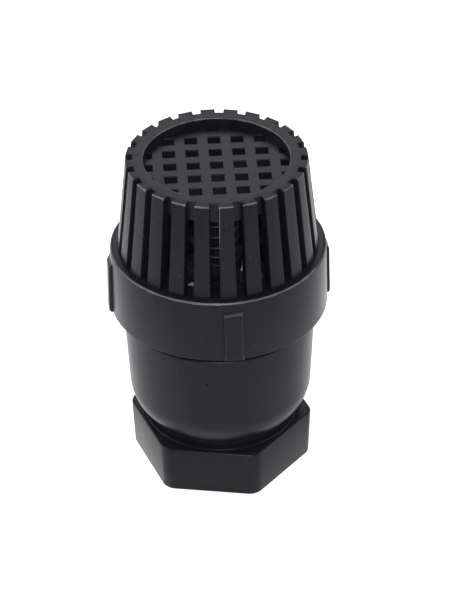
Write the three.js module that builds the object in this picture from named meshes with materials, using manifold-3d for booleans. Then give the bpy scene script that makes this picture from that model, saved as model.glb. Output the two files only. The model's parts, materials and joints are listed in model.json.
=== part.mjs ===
// Foot valve for the suction end of a pump line, standing on its pipe end with the strainer up.
//
// Water enters through the slotted strainer cap, passes the valve port in the seat plate, pushes
// the spring-closed poppet down into the chamber and leaves through the threaded pipe socket.
// The origin is the centre of the pipe end, +Z runs along the axis towards the strainer, and
// all lengths are millimetres. Pieces that touch on the real valve keep a small gap here.

import * as THREE from 'three';
import { mergeVertices } from 'three/addons/utils/BufferGeometryUtils.js';
import Module from 'manifold-3d';

const wasm = await Module();
wasm.setup();

// ---------------------------------------------------------------- driving sizes

const gap = 0.3; // between faces that touch on the real valve
const bury = 0.5; // how far a joined feature starts inside its parent

// pipe end
const hexAcrossFlats = 45.5;
const hexHeight = 14.6;
const hexCornerRadius = 4.0;
const hexEdge = 0.6;
const pipeThreadMajor = 33.25 / 2; // G1 female thread
const pipeThreadMinor = 30.29 / 2;
const pipeThreadPitch = 2.309;
const socketDepth = 15.5;
const socketWall = 3.38;
const socketFloor = 2.1;
const outletRadius = 13.0;

// bowl and chamber
const chamberRadius = 22.4;
const bowlWall = 3.4;
const chamberArc = 9.6; // inner radius of the bowl's curved underside
const bowlHeight = 21.8; // drafted wall, from the curved underside up to its shoulder
const bowlDraft = 1.1;

// threaded neck and cap skirt
const neckWall = 3.5;
const capThreadPitch = 2.5;
const capThreadDepth = 0.95;
const capThreadFit = 0.35;
const threadRootWidth = 1.4;
const threadCrestWidth = 0.65;
const shoulderRise = 0.6; // slope from the bowl's wall in to the neck
const skirtClearance = 3.4; // between the bowl's shoulder and the cap's lower edge
const neckEngagement = 10.6; // length of neck inside the skirt
const ridgeLand = 0.85; // plain length beyond each end of a screw ridge
const skirtWall = 2.8;
const skirtDraft = 0.36;
const skirtEdgeRadius = 0.8;
const capShoulder = 3.2; // floor ring of the strainer, which presses on the gasket

// grip ribs on the skirt
const ribCount = 4;
const ribWidth = 5.4;
const ribProud = 0.95;
const ribTopDrop = 2.5;
const ribAngle = THREE.MathUtils.degToRad(15.54);

// strainer
const ledgeWidth = 2.1;
const strainerHeight = 27.7;
const strainerTaper = 2.98;
const slatDepth = 3.2;
const slotCount = 24;
const slotWidth = 2.4;
const slotFloorLift = 0.2;
const slotAngle = THREE.MathUtils.degToRad(6.04);
const rimWidth = 4.92;
const rimNotch = 1.82; // depth of the slots where they cross the closed rim
const rimDepth = 5.9;
const gridRecess = 2.6;
const gridThickness = 2.4;
const gridHole = 3.2;
const gridPitch = 6.4;
const gridAngle = THREE.MathUtils.degToRad(11.1);

// seat plate and seals
const flangeThickness = 2.5;
const gasketThickness = 1.5;
const gasketWidth = 3.4;
const spigotDepth = 4.7;
const portRadius = 15.5;
const lipWidth = 1.2;
const lipHeight = 0.8;
const lipInset = 0.1;
const armCount = 4;
const armWidth = 3.0;
const armDepth = 3.6;
const hubRadius = 6.5;
const hubRise = 1.8; // hub above the flange, where the spring stands
const hubDrop = 2.3; // hub below the flange
const oRingSection = 0.68;
const oRingSqueeze = 0.1;

// poppet
const stemRadius = 2.5;
const sealThickness = 2.0;
const sealOverlap = 1.2; // seal beyond the seat lip
const clampInset = 2.5; // clamp plate inside the port
const clampThickness = 1.5;
const stemShoulderRadius = 4.5;
const stemShoulderLength = 1.2;
const discThickness = 3.5;
const discBossRadius = 6.0;
const discBossLength = 1.4;
const washerRadius = 5.0;
const washerThickness = 1.0;
const nutAcrossFlats = 8.0;
const nutHeight = 4.0;
const stemTail = 1.4;
const stemHeadroom = 2.3; // stem end below the grid
const stemTip = 1.6; // stem beyond the clip groove
const clipThickness = 0.8;
const clipRadius = 4.8;
const clipGap = THREE.MathUtils.degToRad(70);
const grooveDepth = 0.6;
const retainerThickness = 1.2;
const retainerRimDepth = 2.0;
const retainerRimWidth = 1.2;

// spring
const springRadius = 5.3;
const springWire = 1.0;
const springTurns = 6.5;
const springEndTurns = 1.0;
const springEndPitch = 1.15;

// facets
const bigFacets = 48;
const innerFacets = 32;
const smallFacets = 20;
const turnSteps = 24;

// ---------------------------------------------------------------- derived sizes

// radii, from the axis outwards
const threadRoot = chamberRadius + neckWall;
const threadCrest = threadRoot + capThreadDepth;
const skirtBore = threadCrest + capThreadFit;
const skirtRadius = skirtBore + skirtWall;
const strainerBase = skirtRadius - ledgeWidth;
const strainerTop = strainerBase - strainerTaper;
const recessRadius = strainerTop - rimWidth;
const rimRingRadius = strainerTop - rimNotch;
const neckRadius = pipeThreadMajor + socketWall;
const bowlRadius = chamberRadius + bowlWall;
const bowlArc = chamberArc + bowlWall;
const bowlArcCentre = chamberRadius - chamberArc;
const flangeRadius = threadRoot - gap;
const gasketRadius = flangeRadius + gap;
const gasketBore = gasketRadius - gasketWidth;
const spigotRadius = chamberRadius - gap;
const lipBore = portRadius + lipInset;
const sealRadius = lipBore + lipWidth + sealOverlap;
const clampRadius = portRadius - clampInset;
const boreRadius = stemRadius + gap; // every hole that the stem passes
const oRingRadius = chamberRadius - gap - oRingSection;
const oRingGroove = oRingRadius - oRingSection - oRingSqueeze;

// heights, from the pipe end upwards
const bowlCentreZ = socketDepth + socketFloor + chamberArc;
const bowlZ = bowlCentreZ + bowlHeight;
const skirtZ = bowlZ + skirtClearance;
const neckZ = skirtZ + neckEngagement;
const flangeZ = neckZ + gap;
const gasketZ = flangeZ + flangeThickness + gap;
const shoulderZ = gasketZ + gasketThickness + gap;
const ledgeZ = shoulderZ + capShoulder;
const topZ = ledgeZ + strainerHeight;
const rimRingZ = topZ - rimDepth;
const gridZ = topZ - gridRecess;
const gridUnderZ = gridZ - gridThickness;
const spigotZ = flangeZ - spigotDepth - gap;
const lipZ = spigotZ - lipHeight;
const oRingZ = (spigotZ + flangeZ) / 2;
const hubTopZ = flangeZ + flangeThickness + hubRise;
const hubZ = flangeZ - hubDrop;

// poppet stack, downwards from the seat lip
const sealTopZ = lipZ - gap;
const sealZ = sealTopZ - sealThickness;
const clampZ = sealTopZ + gap;
const stemShoulderZ = clampZ + clampThickness + gap;
const discTopZ = sealZ - gap;
const discZ = discTopZ - discThickness;
const discBossZ = discZ - discBossLength;
const washerZ = discBossZ - gap - washerThickness;
const nutZ = washerZ - gap - nutHeight;
const stemZ = nutZ - stemTail;

// stem end, downwards from the grid
const stemTopZ = gridUnderZ - stemHeadroom;
const clipZ = stemTopZ - stemTip - clipThickness;
const retainerTopZ = clipZ - gap;
const retainerZ = retainerTopZ - retainerThickness;
const springZ = hubTopZ + gap;
const springTopZ = retainerZ - gap;

// cap thread: the two ridges run half a pitch apart
const capThreadStart = skirtZ + ridgeLand;
const neckThreadStart = capThreadStart - capThreadPitch / 2;
const capTurns = (neckZ - capThreadStart) / capThreadPitch;
const neckTurns = (neckZ - ridgeLand - neckThreadStart) / capThreadPitch;

// ---------------------------------------------------------------- materials

const finish = (color, roughness, metalness) =>
  new THREE.MeshStandardMaterial({ color, roughness, metalness });
const blackPolymer = () => finish(0x1d1e20, 0.42, 0.0);
const innerPolymer = () => finish(0x2a2b2d, 0.5, 0.0);
const rubber = () => finish(0x141414, 0.8, 0.0);
const stainless = () => finish(0xb9bcbf, 0.3, 1.0);

// ---------------------------------------------------------------- shape helpers

// A ring or disc turned about +Z. The outline runs up the outside and down the inside.
function turned(outline, facets) {
  const points = outline.map(([radius, z]) => new THREE.Vector2(radius, z));
  return new THREE.LatheGeometry(points, facets).rotateX(Math.PI / 2);
}

// A plain ring with square edges.
function ring(outer, inner, z, height, facets) {
  const outline = [[inner, z], [outer, z], [outer, z + height], [inner, z + height], [inner, z]];
  return turned(outline, facets);
}

// Points of an arc in the turning plane. Angle 0 points outwards and 90 degrees points up.
function arc(radius, z, size, from, to, steps) {
  const points = [];
  for (let step = 0; step <= steps; step += 1) {
    const angle = THREE.MathUtils.degToRad(from + (to - from) * step / steps);
    points.push([radius + size * Math.cos(angle), z + size * Math.sin(angle)]);
  }
  return points;
}

// A regular hexagon with one flat facing -Y and rounded corners.
function hexagon(acrossFlats, cornerRadius) {
  const shape = new THREE.Shape();
  const centre = (acrossFlats / 2 - cornerRadius) / Math.cos(Math.PI / 6);
  for (let corner = 0; corner < 6; corner += 1) {
    const angle = corner * Math.PI / 3;
    const x = centre * Math.cos(angle);
    const y = centre * Math.sin(angle);
    shape.absarc(x, y, cornerRadius, angle - Math.PI / 6, angle + Math.PI / 6, false);
  }
  return shape;
}

// A flat shape raised by height from z, with small chamfers when edge is given.
function raised(shape, z, height, edge, curveSegments) {
  const geometry = new THREE.ExtrudeGeometry(shape, {
    depth: height - 2 * edge,
    bevelEnabled: edge > 0,
    bevelThickness: edge,
    bevelSize: edge,
    bevelOffset: -edge,
    bevelSegments: 1,
    curveSegments,
  });
  return geometry.translate(0, 0, z + edge);
}

// A screw ridge: its trapezium runs from the root radius to the crest radius, and both ends
// fade into the root. The right-hand helix starts at height z, startAngle round from +X.
function screwRidge({ root, crest, rootWidth, crestWidth, pitch, turns, z }) {
  const startAngle = Math.PI / turnSteps / 2;
  const shape = new THREE.Shape();
  shape.moveTo(root, -rootWidth / 2);
  shape.lineTo(crest, -crestWidth / 2);
  shape.lineTo(crest, crestWidth / 2);
  shape.lineTo(root, rootWidth / 2);
  const sweep = turns * 2 * Math.PI;
  const steps = Math.round(turns * turnSteps);
  const geometry = new THREE.ExtrudeGeometry(shape, { depth: sweep, steps, bevelEnabled: false });
  const fadeAngle = Math.PI / 4;
  const endDepth = 0.15;
  const place = geometry.attributes.position;
  for (let i = 0; i < place.count; i += 1) {
    const swept = place.getZ(i);
    const fade = Math.min(1, Math.min(swept, sweep - swept) / fadeAngle);
    const depth = endDepth + (1 - endDepth) * fade;
    const radius = root + (place.getX(i) - root) * depth;
    const height = z + pitch * swept / (2 * Math.PI) - place.getY(i);
    const angle = swept + startAngle;
    place.setXYZ(i, radius * Math.cos(angle), radius * Math.sin(angle), height);
  }
  return geometry;
}

// ---------------------------------------------------------------- joining and cutting

function toSolid(geometry) {
  const bare = geometry.clone();
  bare.deleteAttribute('normal');
  bare.deleteAttribute('uv');
  const merged = mergeVertices(bare, 1e-4);
  const corners = merged.index.array;
  const kept = [];
  for (let i = 0; i < corners.length; i += 3) {
    const [a, b, c] = [corners[i], corners[i + 1], corners[i + 2]];
    if (a !== b && b !== c && c !== a) {
      kept.push(a, b, c);
    }
  }
  const mesh = new wasm.Mesh({
    numProp: 3,
    vertProperties: new Float32Array(merged.attributes.position.array),
    triVerts: new Uint32Array(kept),
  });
  return new wasm.Manifold(mesh);
}

function toGeometry(solid) {
  const mesh = solid.getMesh();
  const geometry = new THREE.BufferGeometry();
  geometry.setAttribute('position', new THREE.BufferAttribute(mesh.vertProperties, 3));
  geometry.setIndex(new THREE.BufferAttribute(mesh.triVerts, 1));
  geometry.computeVertexNormals();
  return geometry;
}

function joined(geometry, additions) {
  return additions.reduce((whole, addition) => whole.add(toSolid(addition)), toSolid(geometry));
}

function cut(solid, cutters) {
  return cutters.reduce((whole, cutter) => whole.subtract(toSolid(cutter)), solid);
}

// Copies of one geometry, evenly spaced around the axis.
function aroundAxis(geometry, count, firstAngle) {
  return Array.from({ length: count }, (_, index) =>
    geometry.clone().rotateZ(firstAngle + index * 2 * Math.PI / count));
}

function piece(name, geometry, material) {
  const mesh = new THREE.Mesh(geometry, material);
  mesh.name = name;
  return mesh;
}

// ---------------------------------------------------------------- housing

// Bowl, hexagon, threaded socket and threaded neck in one moulding.
function valveBody() {
  const wallTop = bowlRadius + bowlDraft;
  const neckAngle = -THREE.MathUtils.radToDeg(Math.acos((neckRadius - bowlArcCentre) / bowlArc));
  const outside = [
    [0, bury],
    [neckRadius, bury],
    ...arc(bowlArcCentre, bowlCentreZ, bowlArc, neckAngle, 0, 5),
    [wallTop, bowlZ],
    [threadRoot, bowlZ + shoulderRise],
    [threadRoot, neckZ - 0.7],
    [threadRoot - 0.7, neckZ],
    [0, neckZ],
  ];
  const hex = raised(hexagon(hexAcrossFlats, hexCornerRadius), 0, hexHeight, hexEdge, 2);
  const neckRidge = screwRidge({
    root: threadRoot - bury,
    crest: threadCrest,
    rootWidth: threadRootWidth,
    crestWidth: threadCrestWidth,
    pitch: capThreadPitch,
    turns: neckTurns,
    z: neckThreadStart,
  });
  const outletRise = Math.max(0, outletRadius - bowlArcCentre) / chamberArc;
  const outletAngle = THREE.MathUtils.radToDeg(Math.asin(outletRise)) - 90;
  const flatFloor = outletRadius < bowlArcCentre ? [[outletRadius, bowlCentreZ - chamberArc]] : [];
  const socket = [
    [0, -bury],
    [pipeThreadMajor + bury, -bury],
    [pipeThreadMinor, pipeThreadMajor - pipeThreadMinor],
    [pipeThreadMinor, socketDepth],
    [0, socketDepth],
  ];
  const chamber = [
    [0, socketDepth - bury],
    [outletRadius, socketDepth - bury],
    ...flatFloor,
    ...arc(bowlArcCentre, bowlCentreZ, chamberArc, outletAngle, 0, 4),
    [chamberRadius, neckZ + bury],
    [0, neckZ + bury],
  ];
  const socketTurns = Math.floor(socketDepth / pipeThreadPitch);
  const socketGroove = screwRidge({
    root: pipeThreadMinor - bury,
    crest: pipeThreadMajor,
    rootWidth: pipeThreadPitch - 0.2,
    crestWidth: 0.4,
    pitch: pipeThreadPitch,
    turns: socketTurns,
    z: 0.4,
  });
  const blank = joined(turned(outside, bigFacets), [hex, neckRidge]);
  const hollows = [turned(socket, turnSteps), turned(chamber, bigFacets), socketGroove];
  return toGeometry(cut(blank, hollows));
}

// ---------------------------------------------------------------- strainer cap

function gridHoles() {
  const disc = turned([[0, gridUnderZ - 1], [recessRadius - 0.1, gridUnderZ - 1],
    [recessRadius - 0.1, topZ], [0, topZ]], bigFacets);
  const clip = toSolid(disc);
  const reach = Math.ceil(recessRadius / gridPitch);
  const holes = [];
  for (let column = -reach; column <= reach; column += 1) {
    for (let row = -reach; row <= reach; row += 1) {
      const nearX = Math.abs(column) * gridPitch - gridHole / 2;
      const nearY = Math.abs(row) * gridPitch - gridHole / 2;
      if (Math.hypot(nearX, nearY) < recessRadius - gridHole / 8) {
        const hole = new THREE.BoxGeometry(gridHole, gridHole, 2 * gridThickness + 1);
        hole.translate(column * gridPitch, row * gridPitch, gridUnderZ + gridThickness / 2);
        hole.rotateZ(gridAngle);
        holes.push(toSolid(hole).intersect(clip));
      }
    }
  }
  return holes;
}

// Cuts one slot: a groove over the closed rim, and right through the wall below it.
function slotCutter() {
  const outer = skirtRadius + 1;
  const inner = recessRadius - 1;
  const shape = new THREE.Shape();
  shape.moveTo(outer, ledgeZ + slotFloorLift);
  shape.lineTo(outer, topZ + 1);
  shape.lineTo(rimRingRadius, topZ + 1);
  shape.lineTo(rimRingRadius, rimRingZ);
  shape.lineTo(inner, rimRingZ);
  shape.lineTo(inner, ledgeZ + slotFloorLift);
  const slot = new THREE.ExtrudeGeometry(shape, { depth: slotWidth, bevelEnabled: false });
  return slot.translate(0, 0, -slotWidth / 2).rotateX(Math.PI / 2).rotateZ(-Math.PI / 2);
}

function gripRib() {
  const height = ledgeZ - ribTopDrop - skirtZ;
  const depth = ribProud + skirtWall / 2;
  const rib = new THREE.BoxGeometry(ribWidth, depth, height);
  const middle = skirtRadius + ribProud - depth / 2;
  return rib.translate(0, -middle, skirtZ + height / 2);
}

// Skirt, slotted cone, rim and grid in one moulding, with a screw thread inside the skirt.
function strainerCap() {
  const outline = [
    [skirtBore, skirtZ],
    [skirtRadius + skirtDraft, skirtZ],
    ...arc(skirtRadius - skirtEdgeRadius, ledgeZ - skirtEdgeRadius, skirtEdgeRadius, 0, 90, 2),
    [strainerBase, ledgeZ],
    [strainerTop, topZ],
    [recessRadius, topZ],
    [recessRadius, gridZ],
    [0, gridZ],
    [0, gridUnderZ],
    [recessRadius, gridUnderZ],
    [recessRadius, rimRingZ],
    [strainerTop + strainerTaper * rimDepth / strainerHeight - slatDepth, rimRingZ],
    [strainerBase - slatDepth, ledgeZ],
    [gasketBore - gap, ledgeZ],
    [gasketBore - gap, shoulderZ],
    [skirtBore, shoulderZ],
    [skirtBore, skirtZ],
  ];
  const blank = turned(outline, bigFacets).rotateZ(slotAngle);
  const skirtRidge = screwRidge({
    root: skirtBore + bury,
    crest: skirtBore - capThreadDepth,
    rootWidth: threadRootWidth,
    crestWidth: threadCrestWidth,
    pitch: capThreadPitch,
    turns: capTurns,
    z: capThreadStart,
  });
  const ribs = aroundAxis(gripRib(), ribCount, ribAngle);
  const slots = aroundAxis(slotCutter(), slotCount, slotAngle);
  const slotted = cut(joined(blank, [skirtRidge, ...ribs]), slots);
  return toGeometry(gridHoles().reduce((whole, hole) => whole.subtract(hole), slotted));
}

// Flat rubber ring between the seat plate and the cap's floor ring.
function capGasket() {
  return ring(gasketRadius, gasketBore, gasketZ, gasketThickness, innerFacets);
}

// ---------------------------------------------------------------- seat plate

// Flange and spigot with the seat lip underneath, and a spider that guides the stem.
function seatPlate() {
  const outline = [
    [portRadius, spigotZ],
    [lipBore, lipZ],
    [lipBore + lipWidth, lipZ],
    [lipBore + lipWidth + 0.3, spigotZ],
    [spigotRadius, spigotZ],
    [spigotRadius, oRingZ - oRingSection - oRingSqueeze],
    [oRingGroove, oRingZ - oRingSection - oRingSqueeze],
    [oRingGroove, oRingZ + oRingSection + oRingSqueeze],
    [spigotRadius, oRingZ + oRingSection + oRingSqueeze],
    [spigotRadius, flangeZ],
    [flangeRadius, flangeZ],
    [flangeRadius, flangeZ + flangeThickness],
    [portRadius, flangeZ + flangeThickness],
    [portRadius, spigotZ],
  ];
  const armLength = portRadius - boreRadius;
  const armZ = flangeZ + flangeThickness - armDepth;
  const arm = new THREE.BoxGeometry(armLength, armWidth, armDepth - 0.2);
  arm.translate(boreRadius + 1 + armLength / 2, 0, armZ + (armDepth - 0.2) / 2);
  const hub = turned([[0, hubZ], [hubRadius - 1, hubZ], [hubRadius, hubZ + 2],
    [hubRadius, hubTopZ], [0, hubTopZ]], smallFacets);
  const guide = turned([[0, hubZ - 1], [boreRadius, hubZ - 1], [boreRadius, hubTopZ + 1],
    [0, hubTopZ + 1]], smallFacets);
  const arms = aroundAxis(arm, armCount, Math.PI / 4);
  return toGeometry(cut(joined(turned(outline, innerFacets), [hub, ...arms]), [guide]));
}

function bodyORing() {
  return new THREE.TorusGeometry(oRingRadius, oRingSection, 6, innerFacets).translate(0, 0, oRingZ);
}

// ---------------------------------------------------------------- poppet

function poppetDisc() {
  return turned([
    [boreRadius, discBossZ],
    [discBossRadius, discBossZ],
    [discBossRadius, discZ],
    [sealRadius - 2.0, discZ],
    [sealRadius, discZ + 1.6],
    [sealRadius, discTopZ],
    [boreRadius, discTopZ],
    [boreRadius, discBossZ],
  ], innerFacets);
}

function sealDisc() {
  return ring(sealRadius, boreRadius, sealZ, sealThickness, innerFacets);
}

function sealClampPlate() {
  return turned([
    [boreRadius, clampZ],
    [clampRadius, clampZ],
    [clampRadius - 0.5, clampZ + clampThickness],
    [boreRadius, clampZ + clampThickness],
    [boreRadius, clampZ],
  ], smallFacets);
}

// Rod with a shoulder above the clamp plate and a clip groove near its top.
function valveStem() {
  const grooveRadius = stemRadius - grooveDepth;
  return turned([
    [0, stemZ],
    [stemRadius - 0.5, stemZ],
    [stemRadius, stemZ + 0.5],
    [stemRadius, stemShoulderZ],
    [stemShoulderRadius, stemShoulderZ],
    [stemShoulderRadius, stemShoulderZ + stemShoulderLength],
    [stemRadius, stemShoulderZ + stemShoulderLength],
    [stemRadius, clipZ - gap],
    [grooveRadius, clipZ - gap],
    [grooveRadius, clipZ + clipThickness + gap],
    [stemRadius, clipZ + clipThickness + gap],
    [stemRadius, stemTopZ - 0.5],
    [stemRadius - 0.5, stemTopZ],
    [0, stemTopZ],
  ], smallFacets);
}

function stemWasher() {
  return ring(washerRadius, boreRadius, washerZ, washerThickness, smallFacets);
}

function stemLockNut() {
  const acrossCorners = nutAcrossFlats / Math.cos(Math.PI / 6);
  const nut = new THREE.CylinderGeometry(acrossCorners / 2, acrossCorners / 2, nutHeight, 6);
  nut.rotateX(Math.PI / 2).translate(0, 0, nutZ + nutHeight / 2);
  const hole = turned([[0, nutZ - 1], [boreRadius, nutZ - 1], [boreRadius, washerZ],
    [0, washerZ]], smallFacets);
  return toGeometry(cut(toSolid(nut), [hole]));
}

// Cup washer: a plate with a short rim around the spring's last coil.
function springRetainer() {
  const inner = springRadius + springWire / 2 + gap;
  const outer = inner + retainerRimWidth;
  return turned([
    [boreRadius, retainerZ],
    [inner, retainerZ],
    [inner, retainerTopZ - retainerRimDepth],
    [outer, retainerTopZ - retainerRimDepth],
    [outer, retainerTopZ],
    [boreRadius, retainerTopZ],
    [boreRadius, retainerZ],
  ], smallFacets);
}

// Open ring that snaps into the stem's groove from the side.
function retainingClip() {
  const inner = stemRadius - grooveDepth + gap;
  const shape = new THREE.Shape();
  shape.absarc(0, 0, clipRadius, clipGap / 2, 2 * Math.PI - clipGap / 2, false);
  shape.absarc(0, 0, inner, 2 * Math.PI - clipGap / 2, clipGap / 2, true);
  return raised(shape, clipZ, clipThickness, 0, 8);
}

// Centre line of the spring: a closed coil at each end and open coils between them.
class SpringCurve extends THREE.Curve {
  getPoint(t, target = new THREE.Vector3()) {
    const turn = t * springTurns;
    const bottom = springZ + springWire / 2;
    const top = springTopZ - springWire / 2;
    const endRise = springEndTurns * springEndPitch;
    const openTurns = springTurns - 2 * springEndTurns;
    const openPitch = (top - bottom - 2 * endRise) / openTurns;
    const low = Math.min(turn, springEndTurns) * springEndPitch;
    const open = Math.min(Math.max(turn - springEndTurns, 0), openTurns) * openPitch;
    const high = Math.max(turn - springEndTurns - openTurns, 0) * springEndPitch;
    const angle = turn * 2 * Math.PI;
    const x = springRadius * Math.cos(angle);
    const y = springRadius * Math.sin(angle);
    return target.set(x, y, bottom + low + open + high);
  }
}

function returnSpring() {
  const wire = new THREE.Shape();
  wire.absarc(0, 0, springWire / 2, 0, 2 * Math.PI, false);
  return new THREE.ExtrudeGeometry(wire, {
    steps: Math.round(springTurns * 14),
    curveSegments: 3,
    extrudePath: new SpringCurve(),
    bevelEnabled: false,
  });
}

// ---------------------------------------------------------------- assembly

const housing = new THREE.Group();
housing.add(piece('valve_body', valveBody(), blackPolymer()));
housing.add(piece('seat_plate', seatPlate(), innerPolymer()));
housing.add(piece('body_o_ring', bodyORing(), rubber()));

const strainer = new THREE.Group();
strainer.add(piece('strainer_cap', strainerCap(), blackPolymer()));
strainer.add(piece('cap_gasket', capGasket(), rubber()));

const poppet = new THREE.Group();
poppet.add(piece('poppet_disc', poppetDisc(), innerPolymer()));
poppet.add(piece('seal_disc', sealDisc(), rubber()));
poppet.add(piece('seal_clamp_plate', sealClampPlate(), stainless()));
poppet.add(piece('valve_stem', valveStem(), innerPolymer()));
poppet.add(piece('stem_washer', stemWasher(), stainless()));
poppet.add(piece('stem_lock_nut', stemLockNut(), stainless()));
poppet.add(piece('spring_retainer', springRetainer(), innerPolymer()));
poppet.add(piece('retaining_clip', retainingClip(), stainless()));
poppet.add(piece('return_spring', returnSpring(), stainless()));

const group = new THREE.Group();
group.add(housing, strainer, poppet);

export default group;
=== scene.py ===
import json
import math

import bmesh
import bpy
from mathutils import Matrix, Vector


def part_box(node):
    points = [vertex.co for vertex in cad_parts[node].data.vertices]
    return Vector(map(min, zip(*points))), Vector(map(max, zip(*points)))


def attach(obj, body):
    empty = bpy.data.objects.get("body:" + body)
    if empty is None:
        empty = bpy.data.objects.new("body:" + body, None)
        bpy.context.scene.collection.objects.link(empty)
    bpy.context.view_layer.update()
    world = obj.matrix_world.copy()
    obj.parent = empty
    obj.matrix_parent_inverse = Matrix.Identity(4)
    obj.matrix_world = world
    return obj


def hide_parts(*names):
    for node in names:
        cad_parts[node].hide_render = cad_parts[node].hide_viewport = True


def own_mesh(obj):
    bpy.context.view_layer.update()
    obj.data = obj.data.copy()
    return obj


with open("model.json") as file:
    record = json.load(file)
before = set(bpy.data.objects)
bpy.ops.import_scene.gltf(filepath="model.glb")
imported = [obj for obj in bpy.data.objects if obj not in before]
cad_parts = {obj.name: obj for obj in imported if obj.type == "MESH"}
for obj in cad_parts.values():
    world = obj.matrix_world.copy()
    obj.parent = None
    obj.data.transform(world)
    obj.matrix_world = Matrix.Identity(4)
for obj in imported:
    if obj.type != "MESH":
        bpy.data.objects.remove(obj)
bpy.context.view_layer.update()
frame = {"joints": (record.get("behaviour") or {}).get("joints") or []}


# ------------------------------------------------------------------ camera
# A long lens stands a little to the right of the front and well above the valve. It is rolled
# by about one degree, as a hand-levelled camera is.

lens_millimetres = 175.8757
camera_azimuth = math.radians(8.0998)
camera_elevation = math.radians(35.3481)
camera_roll = math.radians(-0.96495)
camera_distance = 0.82321
aim_point = Vector((0.0016268, 0.0002315, 0.0511625))

camera_data = bpy.data.cameras.new("camera")
camera_data.lens = lens_millimetres
camera_data.clip_start = 0.01
camera = bpy.data.objects.new("camera", camera_data)
bpy.context.scene.collection.objects.link(camera)
turn = Matrix.Rotation(camera_azimuth, 4, "Z")
tilt = Matrix.Rotation(math.pi / 2 - camera_elevation, 4, "X")
roll = Matrix.Rotation(camera_roll, 4, "Z")
back_off = Matrix.Translation((0, 0, camera_distance))
camera.matrix_world = Matrix.Translation(aim_point) @ turn @ tilt @ back_off @ roll
bpy.context.scene.camera = camera
bpy.context.scene.view_settings.view_transform = "Standard"


# ------------------------------------------------------------------ studio
# The valve stands on a pale board between two large diffusers, and a small spot lights the
# board on either side. A third diffuser hangs behind, and a small one stands in the camera's
# place, so the valve's own shadow falls out of its sight.

class Socket:
    """A socket of a shader tree. Arithmetic on it adds Math nodes."""

    def __init__(self, tree, link=None):
        self.tree = tree
        self.link = link

    def node(self, kind, settings=None, sockets=None, output=0):
        """Adds a node, makes its settings, then sets or links its sockets."""
        made = self.tree.nodes.new(kind)
        for name, value in (settings or {}).items():
            setattr(made, name, value)
        for name, value in (sockets or {}).items():
            if isinstance(value, Socket):
                self.tree.links.new(value.link, made.inputs[name])
            else:
                made.inputs[name].default_value = value
        return Socket(self.tree, made.outputs[output] if made.outputs else None)

    def maths(self, operation, first, second):
        return self.node("ShaderNodeMath", {"operation": operation}, {0: first, 1: second})

    def __add__(self, other):
        return self.maths("ADD", self, other)

    def __sub__(self, other):
        return self.maths("SUBTRACT", self, other)

    def __rsub__(self, other):
        return self.maths("SUBTRACT", other, self)

    def __mul__(self, other):
        return self.maths("MULTIPLY", self, other)

    def __gt__(self, other):
        return self.maths("GREATER_THAN", self, other)

    __radd__ = __add__
    __rmul__ = __mul__


def new_material(name):
    """An empty material, and a socket that starts its expressions."""
    material = bpy.data.materials.new(name)
    material.use_nodes = True
    material.node_tree.nodes.clear()
    return material, Socket(material.node_tree)


def noise(start, scale, detail=2.0, stretch=(1, 1, 1)):
    """Noise on the object's own coordinates, with scale in features per metre."""
    place = start.node("ShaderNodeTexCoord", output="Object")
    place = start.node("ShaderNodeMapping", sockets={"Vector": place, "Scale": stretch})
    sockets = {"Vector": place, "Scale": scale, "Detail": detail}
    return start.node("ShaderNodeTexNoise", sockets=sockets)


def blend_colours(start, factor, dark, light):
    """A colour between two, in a Mix node."""
    sockets = {"Factor": factor, 6: dark, 7: light}
    settings = {"data_type": "RGBA"}
    return start.node("ShaderNodeMix", settings, sockets, output=2)


def board_material():
    material, start = new_material("pale_board")
    mottle = noise(start, 40)
    colour = blend_colours(start, mottle, (0.88, 0.88, 0.88, 1), (0.92, 0.92, 0.92, 1))
    shader = start.node("ShaderNodeBsdfPrincipled", sockets={
        "Base Color": colour, "Roughness": 0.9, "Specular IOR Level": 0.1})
    start.node("ShaderNodeOutputMaterial", sockets={"Surface": shader})
    return material


def diffuser(name, place, size, power, aim=aim_point, spread=180):
    """A square soft light that faces its aim, with its spread in degrees."""
    light = bpy.data.lights.new(name, "AREA")
    light.size = size
    light.energy = power
    light.spread = math.radians(spread)
    lamp = bpy.data.objects.new(name, light)
    bpy.context.scene.collection.objects.link(lamp)
    facing = (Vector(place) - Vector(aim)).to_track_quat("Z", "Y")
    lamp.matrix_world = Matrix.Translation(place) @ facing.to_matrix().to_4x4()


board_width = 6.0
board = bmesh.new()
bmesh.ops.create_grid(board, x_segments=1, y_segments=1, size=board_width / 2)
board_mesh = bpy.data.meshes.new("board")
board.to_mesh(board_mesh)
board.free()
board_mesh.materials.append(board_material())
floor = bpy.data.objects.new("board", board_mesh)
bpy.context.scene.collection.objects.link(floor)

ambient_strength = 0.22
diffuser("left_diffuser", (-0.75, -0.05, 0.35), 0.7, 9.5)
diffuser("left_pool", (-0.40, 0.05, 0.55), 0.2, 0.2, (-0.17, 0.03, 0), 40)
diffuser("right_diffuser", (0.78, 0.06, 0.35), 0.7, 7.5)
diffuser("right_pool", (0.41, 0.10, 0.55), 0.2, 0.15, (0.17, 0.08, 0), 40)
diffuser("rear_diffuser", (-0.12, 0.85, 0.75), 0.6, 3.4)
diffuser("lens_ring", (0.115, -0.80, 0.63), 0.12, 14.0)

world = bpy.data.worlds.new("studio")
world.use_nodes = True
world.node_tree.nodes["Background"].inputs["Color"].default_value = (1, 1, 1, 1)
world.node_tree.nodes["Background"].inputs["Strength"].default_value = ambient_strength
bpy.context.scene.world = world


# ------------------------------------------------------------------ valve body
# The bowl, the hexagon, the pipe socket and the threaded neck are one injection moulding in
# black polypropylene. The pipe thread is unscrewed from the mould, and the bowl is smooth.

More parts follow.
